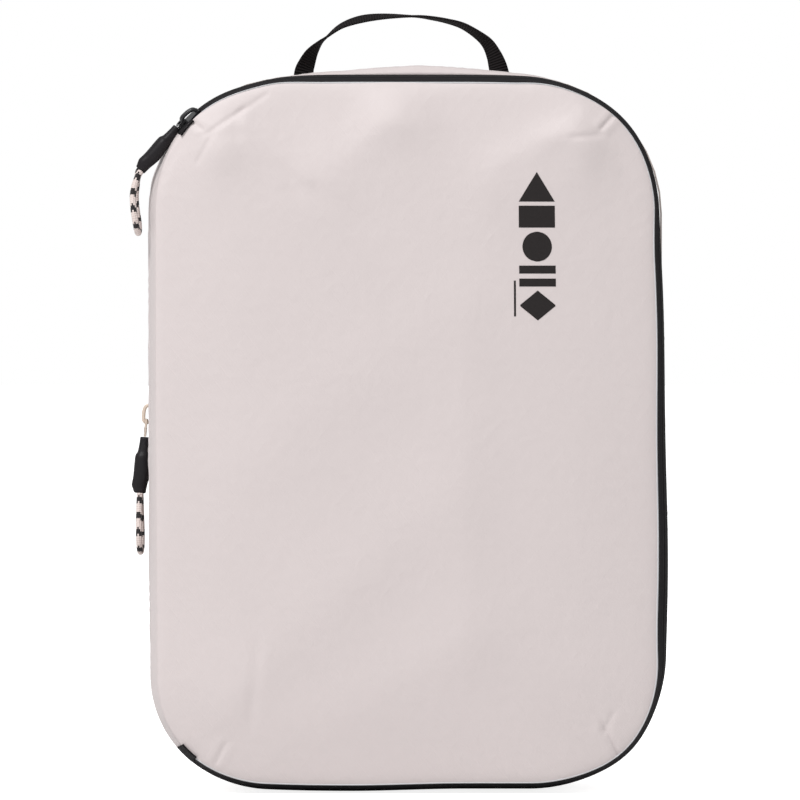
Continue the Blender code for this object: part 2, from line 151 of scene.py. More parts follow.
class Finish:
    """One material, made of a Principled shader and the nodes that feed it."""

    def __init__(self, name, colour, roughness, **constants):
        self.material = bpy.data.materials.new(name)
        self.material.use_nodes = True
        self.tree = self.material.node_tree
        self.shader = self.tree.nodes["Principled BSDF"]
        self.colour = (*colour, 1)
        self.shader.inputs["Base Color"].default_value = self.colour
        self.shader.inputs["Roughness"].default_value = roughness
        for socket, value in constants.items():
            self.shader.inputs[socket.replace("_", " ")].default_value = value
        plan = self.node("ShaderNodeUVMap", {"uv_map": "weave"}, {})
        self.along = self.node("ShaderNodeSeparateXYZ", {}, {0: plan}, "X")
        self.across = self.node("ShaderNodeSeparateXYZ", {}, {0: plan}, "Y")

    def node(self, kind, settings, sockets, output=0):
        """Any node: its type, its settings, and the values or links of its sockets."""
        made = self.tree.nodes.new(kind)
        for name, value in settings.items():
            setattr(made, name, value)
        for name, value in sockets.items():
            if isinstance(value, Strand):
                self.tree.links.new(value.socket, made.inputs[name])
            else:
                made.inputs[name].default_value = value
        return Strand(self, made.outputs[output])

    def noise(self, size, detail=2.0, solid=False):
        """Smooth noise from 0 to 1 in blotches of about a size: over the weave, or through a solid."""
        if solid:
            place = self.node("ShaderNodeTexCoord", {}, {}, "Object")
        else:
            place = self.node("ShaderNodeCombineXYZ", {}, {"X": self.along, "Y": self.across})
        return self.node("ShaderNodeTexNoise", {}, {"Vector": place, "Scale": 1 / size, "Detail": detail})

    def mix(self, share, first, second):
        """A colour between two, by a share from 0 to 1."""
        factor, colour_a, colour_b, colour_result = 0, 6, 7, 2
        return self.node("ShaderNodeMix", {"data_type": "RGBA"},
                         {factor: share, colour_a: first, colour_b: second}, colour_result)

    def feed(self, socket, value):
        self.tree.links.new(value.socket, self.shader.inputs[socket])

    def bump(self, height, distance):
        """Raise the surface by a height from 0 to 1, worth a distance in metres."""
        self.feed("Normal", self.node(
            "ShaderNodeBump", {}, {"Height": height, "Distance": distance, "Strength": 1.0}))


def shade(colour, factor):
    """A colour made lighter or darker, with the alpha that a colour socket takes."""
    return (*(min(1.0, part * factor) for part in colour[:3]), 1)


def floor_finish():
    """Matt white board, lit a little from within so that it meets the surroundings without an edge."""
    floor = Finish("white_floor", (0.90, 0.90, 0.90), 0.9, Specular_IOR_Level=0.1, Emission_Strength=0.84)
    speckle = floor.noise(0.02)
    seen = floor.node("ShaderNodeLightPath", {}, {}, "Is Camera Ray")
    floor.feed("Emission Color", floor.mix(seen, (0, 0, 0, 1), (1, 1, 1, 1)))
    floor.feed("Base Color", floor.mix(speckle, shade(floor.colour, 0.985), floor.colour))
    return floor.material


floor_gap = 0.0004
bpy.ops.mesh.primitive_circle_add(vertices=96, radius=14, fill_type="NGON", location=(0, 0, -floor_gap))
ground = bpy.context.object
ground.name = "floor"
ground.data.uv_layers.new(name="weave")
ground.data.materials.append(floor_finish())

# ---- Cord loops --------------------------------------------------------------------------------
# Each pull ends in a loop of limp 3.2 mm braided cord, off-white with a black tracer yarn that shows as
# a mark every 8 mm.  Both ends are moulded into the foot of the grip.
cord_diameter = 0.0032
cord_step, cord_sides, path_every = 0.00045, 18, 8
cord_routes = {
    "main": (
        (-0.1339, -0.0335, 0.3131), (-0.1350, -0.0338, 0.3117), (-0.1370, -0.0349, 0.3065),
        (-0.1380, -0.0362, 0.3005), (-0.1376, -0.0373, 0.2940), (-0.1367, -0.0372, 0.2882),
        (-0.1360, -0.0349, 0.2838), (-0.1356, -0.0312, 0.2821), (-0.1354, -0.0276, 0.2838),
        (-0.1358, -0.0253, 0.2882), (-0.1367, -0.0252, 0.2940), (-0.1371, -0.0263, 0.3005),
        (-0.1365, -0.0279, 0.3065), (-0.1357, -0.0289, 0.3125), (-0.1348, -0.0293, 0.3141),
    ),
    "compression": (
        (-0.1358, -0.0122, 0.1503), (-0.1359, -0.0124, 0.1486), (-0.1361, -0.0136, 0.1420),
        (-0.1362, -0.0152, 0.1350), (-0.1361, -0.0160, 0.1285), (-0.1359, -0.0140, 0.1228),
        (-0.1356, -0.0100, 0.1203), (-0.1353, -0.0060, 0.1228), (-0.1353, -0.0040, 0.1285),
        (-0.1354, -0.0048, 0.1350), (-0.1356, -0.0064, 0.1420), (-0.1357, -0.0076, 0.1486),
        (-0.1358, -0.0078, 0.1503),
    ),
}


def smooth_route(points, gap):
    """Points about a gap apart on a smooth curve through a few chosen points."""
    chosen = [np.array(point, float) for point in points]
    padded = [2 * chosen[0] - chosen[1], *chosen, 2 * chosen[-1] - chosen[-2]]
    route = [chosen[0]]
    for index in range(1, len(padded) - 2):
        before, here, there, beyond = padded[index - 1:index + 3]
        steps = max(1, round(np.linalg.norm(there - here) / gap))
        for step in range(1, steps + 1):
            t = step / steps
            route.append(0.5 * (2 * here + (there - before) * t
                                + (2 * before - 5 * here + 4 * there - beyond) * t ** 2
                                + (3 * here - before - 3 * there + beyond) * t ** 3))
    return np.array(route)


def travelled(points):
    """How far along a route each of its points lies."""
    return np.concatenate([[0], np.cumsum(np.linalg.norm(np.diff(points, axis=0), axis=1))])


def headings(route):
    """The direction of travel at each point of a route."""
    forward = np.gradient(route, axis=0)
    return forward / np.linalg.norm(forward, axis=1)[:, None]


def pieced(name, corners, faces, finish, smooth=True):
    """A piece made of corners and faces, in a finish, with a map for its weave."""
    mesh = bpy.data.meshes.new(name)
    mesh.from_pydata([tuple(corner) for corner in corners], [], faces)
    mesh.uv_layers.new(name="weave")
    mesh.materials.append(finish)
    if smooth:
        mesh.shade_smooth()
    piece = bpy.data.objects.new(name, mesh)
    bpy.context.scene.collection.objects.link(piece)
    return piece


def woven(name, points, plan, finish, wrap=False, caps=False):
    """A mesh from a grid of points, rows by columns, with each point's place in the weave in metres.

    The face's outside is columns cross rows.  A wrapped grid's last column joins its first.
    """
    rows, columns = points.shape[:2]
    faces, loops = [], []
    for row in range(rows - 1):
        for column in range(columns if wrap else columns - 1):
            after = (column + 1) % columns
            faces.append((row * columns + column, row * columns + after,
                          (row + 1) * columns + after, (row + 1) * columns + column))
            for r, c in ((row, column), (row, column + 1), (row + 1, column + 1), (row + 1, column)):
                step = plan[r, columns - 1] - plan[r, columns - 2]
                loops.append(plan[r, c] if c < columns else plan[r, columns - 1] + step)
    if caps:
        for row, order in ((0, -1), (rows - 1, 1)):
            ring = [(row, column) for column in range(columns)][::order]
            faces.append([r * columns + c for r, c in ring])
            loops.extend(plan[spot] for spot in ring)
    piece = pieced(name, points.reshape(-1, 3), faces, finish)
    piece.data.uv_layers["weave"].data.foreach_set("uv", np.array(loops, np.float32).reshape(-1))
    return piece


def tube(name, route, radius, sides, finish):
    """A round tube with closed ends along a route: the plan runs along it and once round it."""
    forward = headings(route)
    any_way = (1.0, 0.02, 0.01)
    beside = np.cross(forward[0], any_way)
    turns = np.arange(sides) / sides
    rings, plans = [], []
    for place, ahead, far in zip(route, forward, travelled(route)):
        beside = beside - ahead * beside.dot(ahead)
        beside /= np.linalg.norm(beside)
        above = np.cross(ahead, beside)
        rings.append(place + radius * (np.cos(turns * tau)[:, None] * beside
                                       + np.sin(turns * tau)[:, None] * above))
        plans.append(np.stack([np.full(sides, far), turns], 1))
    return woven(name, np.array(rings), np.array(plans), finish, wrap=True, caps=True)


def braid_finish():
    """Plaited strands, with the tracer yarn's marks stepping round the cord from strand to strand.

    The colour carries painted shade in the grooves between the strands and a painted highlight on their
    crowns.
    """
    braid = Finish("braided_cord", (0.72, 0.62, 0.585), 0.75, Specular_IOR_Level=0.25,
                   Sheen_Weight=0.2)
    plait, strands = 0.0021, 4.0
    one_way = braid.along / plait + braid.across * strands
    other_way = braid.along / plait - braid.across * strands
    cells = one_way.wave() * other_way.wave()
    mark_gap, mark_share = 0.0083, 0.35
    yarn_step, yarns_round, slant = 0.0011, 12, 3.2
    stepped = braid.along.snapped(yarn_step)
    turned = braid.across.snapped(1 / yarns_round)
    zigzag = abs((turned * 2.0).fraction() - 0.5) * slant * yarn_step
    place = ((stepped + zigzag) / mark_gap).fraction()
    tracer = abs(place - 0.5) < mark_share / 2
    # Painted shade and highlight: the cord's colour is darker in the grooves between strands and lighter on
    # their crowns.
    tone = braid.mix(0.5 + 0.5 * cells, shade(braid.colour, 0.8), shade(braid.colour, 1.08))
    blotched = braid.mix(braid.noise(0.003), tone, shade(braid.colour, 0.94))
    braid.feed("Base Color", braid.mix(tracer, blotched, (0.018, 0.015, 0.016, 1)))
    braid.bump(0.5 + 0.5 * cells, 0.0003)
    return braid.material


cord_braid = braid_finish()
for side, points in cord_routes.items():
    route = smooth_route(points, cord_step)
    loop = tube(f"{side}_cord_loop", route, cord_diameter / 2, cord_sides, cord_braid)
    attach(loop, f"{side}_pull")
    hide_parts(f"{side}_pull_cord")

# ---- Back half: panel and gusset ---------------------------------------------------------------
# A gently rounded back panel and a 36 mm gusset, both of thin coated off-white ripstop nylon.  They are
# sewn together all round with the seam inside, so the outside shows a soft edge and a line of stitches.
half_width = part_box("back_gusset")[1].x
corner_radii = {"top_left": 0.070, "top_right": 0.070, "bottom_right": 0.068, "bottom_left": 0.059}
corner_centres = {
    "top_left": (-half_width + corner_radii["top_left"], standing_height - corner_radii["top_left"]),
    "top_right": (half_width - corner_radii["top_right"], standing_height - corner_radii["top_right"]),
    "bottom_right": (half_width - corner_radii["bottom_right"], corner_radii["bottom_right"]),
    "bottom_left": (-half_width + corner_radii["bottom_left"], corner_radii["bottom_left"]),
}
corner_names = list(corner_radii)


def outline_runs():
    """The outline's runs, clockwise from the foot of the upper left corner: arcs and straights."""
    runs = []
    for index, name in enumerate(corner_names):
        centre, radius = corner_centres[name], corner_radii[name]
        start = index * 90
        runs.append(("arc", centre, radius, start, radius * pi / 2))
        following = corner_names[(index + 1) % 4]
        turn = radians(start + 90)
        leave = (centre[0] - radius * cos(turn), centre[1] + radius * sin(turn))
        arrive = (corner_centres[following][0] - corner_radii[following] * cos(turn),
                  corner_centres[following][1] + corner_radii[following] * sin(turn))
        gap = hypot(arrive[0] - leave[0], arrive[1] - leave[1])
        runs.append(("straight", leave, arrive, start + 90, gap))
    return runs


runs = outline_runs()
girth = sum(run[-1] for run in runs)


def edge(far):
    """The outline's point and outward direction, a distance clockwise from its start, as x and z."""
    far %= girth
    for kind, first, second, angle, length in runs:
        if far <= length:
            break
        far -= length
    if kind == "arc":
        turn = radians(angle + 90 * far / length)
        out = np.array((-cos(turn), sin(turn)))
        return np.array(first) + second * out, out
    turn = radians(angle)
    share = far / length
    return np.array(first) * (1 - share) + np.array(second) * share, np.array((-cos(turn), sin(turn)))


def far_at(corner, angle):
    """The distance clockwise at which a corner's arc has an outline angle in degrees."""
    index = corner_names.index(corner)
    before = sum(run[-1] for run in runs[:2 * index])
    return before + corner_radii[corner] * radians(angle - 90 * index)


def smooth_step(value, low, high):
    """From 0 at the low value to 1 at the high one, easing at both."""
    share = np.clip((value - low) / (high - low), 0, 1)
    return share * share * (3 - 2 * share)


def settle(points):
    """The stuffed case leans a little: its right side in at the top and out at the bottom."""
    settled = np.array(points, float)
    x, z = settled[..., 0], settled[..., 2]
    rightness = np.clip(x / half_width, 0, 1.1) ** 2
    lean = 0.0018 * np.exp(-((z - 0.115) / 0.055) ** 2) - 0.0029 * np.exp(-((z - 0.305) / 0.048) ** 2)
    square_corner = np.exp(-((x - 0.108) / 0.022) ** 2 - ((z - 0.022) / 0.026) ** 2)
    settled[..., 0] = x + rightness * lean + 0.0020 * square_corner
    low = np.clip(1 - z / 0.06, 0, 1)
    lift = low * (0.0012 * smooth_step(x, -0.03, 0.03) + 0.0015 * np.exp(-((x + 0.095) / 0.033) ** 2))
    shoulders = 0.0020 * np.exp(-((x + 0.078) / 0.020) ** 2) + 0.0018 * np.exp(-((x - 0.085) / 0.026) ** 2)
    lowered = z + lift - 0.0012 * square_corner - shoulders * smooth_step(z, 0.300, 0.350)
    settled[..., 2] = np.maximum(lowered, 0)
    return settled


def swell(x, z):
    """How far the gusset bulges past the outline in the middle of its width."""
    top = 0.0047 * np.exp(-((x - 0.006) / 0.046) ** 2) * smooth_step(z, 0.33, 0.36)
    sides = 0.0010 * smooth_step(z, 0.05, 0.12) * (1 - smooth_step(z, 0.30, 0.35))
    return top + sides * (x < 0)


def rim_share(x, z):
    """How wide the zip's band shows from the front there, as a share of its width on the right side."""
    x, z = np.asarray(x, float), np.asarray(z, float)
    top = 0.34 * smooth_step(z, 0.345, 0.3575) * (1 - smooth_step(np.abs(x - 0.004), 0.045, 0.077))
    right = smooth_step(x, 0.110, 0.1285) * smooth_step(z, 0.035, 0.090) * (
        0.30 * (1 - smooth_step(z, 0.268, 0.302)) + 0.18 * (1 - smooth_step(z, 0.165, 0.235)))
    low = 0.12 * smooth_step(-z, -0.012, 0.0)
    left = 0.14 * smooth_step(-x, 0.120, 0.1285)
    corners = 0.76 + 0.16 * (1 - smooth_step(z, 0.060, 0.200))
    return corners + np.maximum(np.maximum(top, right), np.maximum(low, left))


def wrinkles(far, across, width):
    """How far loose gusset cloth stands out there: puckers along both seams and long soft waves."""
    turns = tau * far / girth
    share = across / width
    waves = 0.00032 * sin(23 * turns + 9 * share) + 0.00026 * sin(41 * turns - 6 * share + 1.3)
    patchy = 0.55 + 0.45 * sin(7 * turns + 0.6) * sin(16 * turns)
    beside_seam = exp(-across / 0.0045) + exp(-(width - across) / 0.0045)
    puckers = 0.00030 * sin(137 * turns + 3 * sin(29 * turns)) * beside_seam
    held = min(1.0, across / 0.0015, (width - across) / 0.0015)
    return (waves * patchy * sin(pi * share) + puckers) * max(0.0, held)


def band(name, profile, finish, first=0.0, last=None, spacing=0.004, thickness=None, rimmed=False,
         loose=0.0):
    """A strip round the outline.  A profile gives (inset, y, how much of the swell) from front to back."""
    wrap = last is None
    span = girth if wrap else last - first
    count = round(span / spacing)
    fars = first + span * np.arange(count if wrap else count + 1) / count
    points = np.zeros((len(profile), len(fars), 3))
    plan = np.zeros((len(profile), len(fars), 2))
    widths = travelled(np.array([(inset, y, 0) for inset, y, _ in profile]))
    for column, far in enumerate(fars):
        (x, z), (out_x, out_z) = edge(far)
        for row, (inset, y, share) in enumerate(profile):
            reach = share * swell(x, z) - inset * (rim_share(x, z) if rimmed else 1)
            if loose:
                reach += loose * wrinkles(far, widths[row], widths[-1])
            points[row, column] = (x + out_x * reach, y, z + out_z * reach)
            plan[row, column] = (far, widths[row])
    piece = woven(name, settle(points), plan, finish, wrap=wrap)
    if thickness:
        thicken(piece, thickness)
    return piece


def thicken(piece, thickness):
    """Give a sheet its thickness, inwards from its outside."""
    solid = piece.modifiers.new("thickness", "SOLIDIFY")
    solid.thickness = thickness
    solid.offset = -1
    solid.use_even_offset = False


def ripstop_finish():
    """Thin coated nylon: a plain weave under a diamond net of heavier yarns, with faint creasing."""
    cloth = Finish("ripstop_nylon", (0.592, 0.531, 0.526), 0.48,
                   Specular_IOR_Level=0.30, Sheen_Weight=0.12, Sheen_Roughness=0.4)
    diamond_long, diamond_wide, yarn_fineness, thread_pitch = 0.0085, 0.0110, 22, 0.00045
    one_way = (cloth.along / diamond_long + cloth.across / diamond_wide).fraction() - 0.5
    other_way = (cloth.along / diamond_long - cloth.across / diamond_wide).fraction() - 0.5
    yarn = (1 - abs(one_way) * yarn_fineness).most(1 - abs(other_way) * yarn_fineness).most(0.0)
    threads = (cloth.along / thread_pitch).wave() * (cloth.across / thread_pitch).wave()
    blotch = cloth.noise(0.045, 3.0)
    crease = cloth.noise(0.006, 4.0)
    crinkle = 1 - abs(cloth.noise(0.014, 2.0) - 0.5) * 4.0
    base = cloth.mix(blotch, shade(cloth.colour, 0.975), shade(cloth.colour, 1.02))
    fine = cloth.mix(crease * 0.30, base, shade(cloth.colour, 0.965))
    cloth.feed("Base Color", cloth.mix(yarn * 0.30, fine, shade(cloth.colour, 1.05)))
    cloth.feed("Roughness", 0.42 + 0.14 * crease)
    cloth.bump(yarn * 0.26 + threads * 0.10 + crease * 0.8 + crinkle.most(0.0) * 0.9, 0.00014)
    return cloth.material


ripstop = ripstop_finish()
cloth_thickness = 0.0005
back_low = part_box("back_gusset")[0]
back_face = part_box("back_panel")[1].y
seam_roll = 0.0022
seam_overlap = 0.0002
gusset_step = 0.0026


def gusset_profile(front, back, rows, front_roll, back_roll):
    """Insets and shares of the swell across a gusset whose edges roll in to their seams."""
    profile = []
    for row in range(rows + 1):
        share = row / rows
        y = front + (back - front) * share
        roll_front = front_roll * max(0.0, 1 - (y - front) / seam_roll) ** 2
        roll_back = back_roll * max(0.0, 1 - (back - y) / seam_roll) ** 2
        profile.append((roll_front + roll_back, y, sin(pi * share) ** 0.8))
    return profile


def thread_finish(name, colour):
    """Twisted sewing thread."""
    thread = Finish(name, colour, 0.6, Specular_IOR_Level=0.3)
    twist = thread.noise(0.0005, solid=True)
    thread.feed("Base Color", thread.mix(twist, shade(thread.colour, 0.8), shade(thread.colour, 1.1)))
    thread.bump(twist, 0.00008)
    return thread.material


pale_thread = thread_finish("off_white_thread", (0.56, 0.50, 0.48))


def stitches(name, y, across, width, loose):
    """A row of lockstitches round the gusset: short rounded lengths of thread, a little proud."""
    pitch, half_share, proud, rounding = 0.0034, 0.36, 0.0001, 0.0001
    thread_radius, tip_radius, facets = 0.00019, 0.00003, 6
    places = (-1.0, -0.72, 0.0, 0.72, 1.0)
    count = int(girth / pitch)
    corners, faces = [], []
    for index in range(count):
        base = len(corners)
        for place in places:
            far = (index + 0.5 + place * half_share) * girth / count
            (x, z), (out_x, out_z) = edge(far)
            reach = proud + loose * wrinkles(far, across, width)
            thick = thread_radius * (1 - place ** 4) ** 0.5 + tip_radius
            for facet in range(facets):
                turn = tau * facet / facets
                out = reach + thick * 0.9 * cos(turn) + rounding * (1 - place ** 2)
                corners.append((x + out_x * out, y + thick * sin(turn), z + out_z * out))
        for step in range(len(places) - 1):
            for facet in range(facets):
                a, b = base + step * facets + facet, base + step * facets + (facet + 1) % facets
                faces.append((a, a + facets, b + facets, b))
        faces.append([base + facet for facet in range(facets)])
        faces.append([base + (len(places) - 1) * facets + facet for facet in range(facets)][::-1])
    return pieced(name, settle(np.array(corners)), faces, pale_thread)


across_gusset = gusset_profile(back_low.y - seam_overlap, back_face - seam_overlap, 22, seam_overlap,
                               seam_roll)
gusset = band("back_gusset_cloth", across_gusset, ripstop, spacing=gusset_step, thickness=cloth_thickness,
              loose=1.0)
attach(gusset, "back_half")
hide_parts("back_gusset")
gusset_width = back_face - back_low.y
for name, beside in (("gusset_stitches_by_zip", 0.0018), ("gusset_stitches_by_back", gusset_width - 0.0042)):
    seam = stitches(name, back_low.y + beside, beside, gusset_width, 1.0)
    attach(seam, "back_half")


def row_extent(z, inset):
    """The left and right x of the outline at a height, for an inset outline."""
    ends = []
    for side, upper, lower in ((-1, "top_left", "bottom_left"), (1, "top_right", "bottom_right")):
        reach = half_width - inset
        for corner, is_past in ((upper, z > corner_centres[upper][1]), (lower, z < corner_centres[lower][1])):
            if is_past:
                radius = corner_radii[corner] - inset
                rise = min(abs(z - corner_centres[corner][1]), radius)
                reach = abs(corner_centres[corner][0]) + (radius ** 2 - rise ** 2) ** 0.5
        ends.append(side * reach)
    return ends


def panel_grid(inset, low_rows, middle_rows, top_rows, columns):
    """A grid that fills the inset outline, finer towards its edge: x and z of each point."""
    top_centre, low_centre = corner_centres["top_left"][1], corner_centres["bottom_right"][1]
    top_reach, low_reach = corner_radii["top_left"] - inset, corner_radii["bottom_right"] - inset
    heights = np.concatenate([
        low_centre - low_reach * np.cos(np.linspace(0, pi / 2, low_rows + 1)[:-1]),
        np.linspace(low_centre, top_centre, middle_rows + 1),
        top_centre + top_reach * np.sin(np.linspace(0, pi / 2, top_rows + 1)[1:]),
    ])
    shares = np.linspace(0, 1, columns + 1)
    shares = shares - 0.11 * np.sin(tau * shares)
    flat = np.zeros((len(heights), columns + 1, 2))
    for row, z in enumerate(heights):
        left, right = row_extent(z, inset)
        flat[row, :, 0] = left + (right - left) * shares
        flat[row, :, 1] = z
    return flat


def edge_distance(x, z, inset):
    """How far a point lies inside the inset outline."""
    x, z = np.asarray(x, float), np.asarray(z, float)
    distance = np.minimum(half_width - np.abs(x), np.minimum(z, standing_height - z))
    for name in corner_names:
        (cx, cz), radius = corner_centres[name], corner_radii[name]
        beyond = (np.sign(cx) * (x - cx) > 0) & ((z - cz) * (1 if "top" in name else -1) > 0)
        distance = np.where(beyond, radius - np.hypot(x - cx, z - cz), distance)
    return distance - inset


def along_line(x, z, start, end):
    """How far a point lies to the side of a line, and how far past the nearer of its ends."""
    run = np.array(end) - np.array(start)
    length = np.hypot(*run)
    share = ((x - start[0]) * run[0] + (z - start[1]) * run[1]) / length ** 2
    beside = ((x - start[0]) * run[1] - (z - start[1]) * run[0]) / length
    return beside, np.maximum(np.maximum(-share, share - 1), 0) * length


def ridged(x, z, folds):
    """The height of soft ridges: from (x, z) to (x, z), steepness, sharpness of the crest and reach."""
    height = np.zeros_like(x)
    for start, end, slope, sharp, reach in folds:
        beside, past = along_line(x, z, start, end)
        fade = np.exp(-(beside / reach) ** 2 - (past / (reach * 0.6)) ** 2)
        height = height + slope / 2 * (reach / 2 - np.sqrt(beside ** 2 + sharp ** 2) + sharp) * fade
    return height


# The back's folds: one from each corner, two across the middle and a short one from each side.
back_folds = (
    ((-0.095, 0.318), (-0.030, 0.262), 0.110, 0.006, 0.022),
    ((0.098, 0.322), (0.040, 0.250), 0.100, 0.008, 0.026),
    ((-0.100, 0.052), (-0.036, 0.112), 0.090, 0.007, 0.024),
    ((0.096, 0.046), (0.020, 0.120), 0.110, 0.006, 0.024),
    ((-0.060, 0.230), (0.055, 0.205), 0.060, 0.012, 0.034),
    ((-0.050, 0.160), (0.070, 0.168), 0.055, 0.014, 0.036),
    ((0.005, 0.345), (0.012, 0.300), 0.120, 0.003, 0.012),
    ((-0.030, 0.018), (-0.024, 0.050), 0.100, 0.003, 0.012),
    ((-0.120, 0.200), (-0.088, 0.192), 0.100, 0.003, 0.011),
    ((0.120, 0.150), (0.090, 0.158), 0.100, 0.003, 0.011),
)


def back_panel_cloth():
    flat = panel_grid(seam_roll, 36, 90, 36, 120)[::-1]
    x, z = flat[..., 0], flat[..., 1]
    inside = np.maximum(edge_distance(x, z, seam_roll), 0)
    crown = 0.0030 * (1 - np.exp(-inside / 0.020)) + 0.0006 * (1 - np.exp(-inside / 0.003))
    turned = np.arctan2(z - standing_height / 2, x)
    beside_seam = np.exp(-((inside - 0.004) / 0.005) ** 2)
    puckers = 0.00035 * np.sin(96 * turned + 2 * np.sin(11 * turned)) * beside_seam
    soft = 1 - np.exp(-inside / 0.012)
    ripple = 0.0004 * np.sin(x * 41 + 1.1) * np.sin(z * 33) + 0.0003 * np.sin((x + z) * 57)
    y = back_face - 0.0004 + crown + puckers + soft * (ripple + ridged(x, z, back_folds))
    piece = woven("back_panel_cloth", settle(np.stack([x, y, z], 2)), flat, ripstop)
    thicken(piece, cloth_thickness)
    return piece


panel = back_panel_cloth()
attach(panel, "back_half")
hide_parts("back_panel")

# ---- Seam bindings -----------------------------------------------------------------------------
# Inside the case every raw seam is bound in a strip of off-white woven tape.  They show when the lid is
# open.


def tape_finish(name, colour, fleck, gloss=0.18):
    """A woven tape with fine ribs along it and a slightly uneven yarn."""
    tape = Finish(name, colour, 0.72, Specular_IOR_Level=gloss)
    ribs = (tape.across / 0.00042).wave()
    picks = (tape.along / 0.00060).wave()
    yarn = tape.noise(0.0011, 3.0)
    tone = tape.mix(yarn, shade(tape.colour, 1 - fleck), shade(tape.colour, 1 + fleck))
    tape.feed("Base Color", tape.mix(0.25 + 0.25 * ribs * picks, tone, shade(tape.colour, 1 - fleck)))
    tape.feed("Roughness", 0.66 + 0.14 * yarn)
    tape.bump(0.5 + 0.3 * ribs + 0.2 * picks + 0.4 * yarn, 0.00018)
    return tape.material


cream_tape = tape_finish("off_white_tape", (0.60, 0.525, 0.485), 0.10)
for node, body in (("back_seam_binding", "back_half"), ("front_seam_binding", "front_half"),
                   ("lid_seam_binding", "lid")):
    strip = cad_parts[node]
    strip.data.uv_layers.new(name="weave")
    spots = np.array([vertex.co for vertex in strip.data.vertices])
    corners = np.array([loop.vertex_index for loop in strip.data.loops])
    strip.data.uv_layers["weave"].data.foreach_set(
        "uv", (spots[corners][:, [0, 2]]).astype(np.float32).reshape(-1))
    strip.data.materials.clear()
    strip.data.materials.append(cream_tape)

# ---- Compression zip ---------------------------------------------------------------------------
# A fine zip in the case's own colour round the middle of the gusset: two woven tapes whose coils face
# inwards, so that the outside shows flat tape with a narrow slit.  The rear tape is sewn to the back
# half, the front tape to the front half.
slit = 0.0004
tape_thickness = 0.0006


def coil_row(name, profile_place, finish, first=0.0, last=None, rimmed=False):
    """A row of coil loops under a tape's edge, each a rounded bead across the zip."""
    pitch, half_share, half_depth = 0.0022, 0.36, 0.00055
    (inset, y), (in_end, y_end) = profile_place
    span = girth if last is None else last - first
    count = int(span / pitch)
    corners, faces = [], []
    for index in range(count):
        far = first + (index + 0.5) * span / count
        (x, z), (out_x, out_z) = edge(far)
        along = np.array((out_z, 0, -out_x)) * pitch * half_share
        out = np.array((out_x, 0, out_z)) * (rim_share(x, z) if rimmed else 1)
        start = np.array((x, y, z)) - out * inset
        end = np.array((x, y_end, z)) - out * in_end
        middle = (start + end) / 2
        deep = np.cross(along, end - start)
        deep = deep / np.linalg.norm(deep) * half_depth
        base = len(corners)
        corners += [start, middle + along, end, middle - along, middle + deep, middle - deep]
        ring = [base, base + 1, base + 2, base + 3]
        for a, b in zip(ring, ring[1:] + ring[:1]):
            faces += [(a, b, base + 4), (b, a, base + 5)]
    return pieced(name, settle(np.array(corners)), faces, finish, smooth=False)


def nylon_finish(name, colour):
    """Smooth nylon monofilament."""
    nylon = Finish(name, colour, 0.35, Specular_IOR_Level=0.4)
    uneven = nylon.noise(0.002, solid=True)
    nylon.feed("Base Color", nylon.mix(uneven, shade(nylon.colour, 0.9), shade(nylon.colour, 1.1)))
    nylon.feed("Roughness", 0.3 + 0.15 * uneven)
    nylon.bump(uneven, 0.00005)
    return nylon.material


cream_coil = nylon_finish("off_white_coil", (0.62, 0.55, 0.51))
rear_low, rear_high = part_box("compression_zip_back_tape")
fore_low, fore_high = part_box("compression_zip_front_tape")
zip_middle = (rear_low.y + fore_high.y) / 2
coil_ridge = 0.0003
coil_depth, coil_start, coil_end = 0.0017, 0.0004, 0.0021


def tape_profile(slit_y, seam_y):
    """Across one compression tape: a low ridge over the coil beside the slit, then flat."""
    places = ((0.0, 0.0009), (0.08, 0.0001), (0.22, -coil_ridge), (0.42, -coil_ridge * 0.8),
              (0.55, 0.0001), (0.8, 0.0002), (1.0, 0.0004))
    profile = [(inset, slit_y + (seam_y - slit_y) * share, 0.0) for share, inset in places]
    return profile if seam_y > slit_y else profile[::-1]


rear_tape = band("compression_tape_rear", tape_profile(zip_middle + slit / 2, rear_high.y), cream_tape,
                 thickness=tape_thickness)
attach(rear_tape, "back_half")
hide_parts("compression_zip_back_tape")
fore_tape = band("compression_tape_front", tape_profile(zip_middle - slit / 2, fore_low.y), cream_tape,
                 thickness=tape_thickness)
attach(fore_tape, "front_half")
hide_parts("compression_zip_front_tape")
for name, node, body, lean in (("compression_coil_rear", "compression_zip_back_coil", "back_half", 1),
                               ("compression_coil_front", "compression_zip_front_coil", "front_half", -1)):
    coil = coil_row(name, ((coil_depth, zip_middle - lean * coil_start),
                           (coil_depth, zip_middle + lean * coil_end)), cream_coil)
    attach(coil, body)
    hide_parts(node)

# ---- Expansion gusset --------------------------------------------------------------------------
# A loose ring of the same nylon behind the compression zip, sewn to both halves.  It lies folded inside
# while that zip is closed.
fold_low, fold_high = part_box("expansion_gusset")
pleat_depth = 0.0115


def expansion_profile():
    """Two pleats side by side, rounded where they turn."""
    rows, seam_inset, bow = 28, 0.0018, 0.0035
    profile = []
    for row in range(rows + 1):
        share = row / rows
        y = fold_low.y + (fold_high.y - fold_low.y) * share
        inset = seam_inset + pleat_depth * abs(sin(tau * share)) ** 0.8 + bow * sin(pi * share)
        profile.append((inset, y, 0.0))
    return profile


pleats = expansion_profile()
pleat = band("expansion_gusset_cloth", pleats, ripstop, spacing=0.0036, thickness=cloth_thickness, loose=1.6)
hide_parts("expansion_gusset")
flat_length = girth - tau * pleat_depth / 2
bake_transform(pleat)

# ---- Front half: gusset ------------------------------------------------------------------------
# The narrower gusset of the front half.  On the left, between the ends of the main zip, it runs on
# forwards to the sewn edge of the front panel, which is the lid's fabric hinge.
front_low, front_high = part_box("front_gusset")
rim_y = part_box("lid_hinge_strip")[0].y
rim_inset = 0.0040
fold_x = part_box("lid_hinge_strip")[1].x
band_rise = front_low.y - 0.0003
band_fall = rim_y + 0.0006

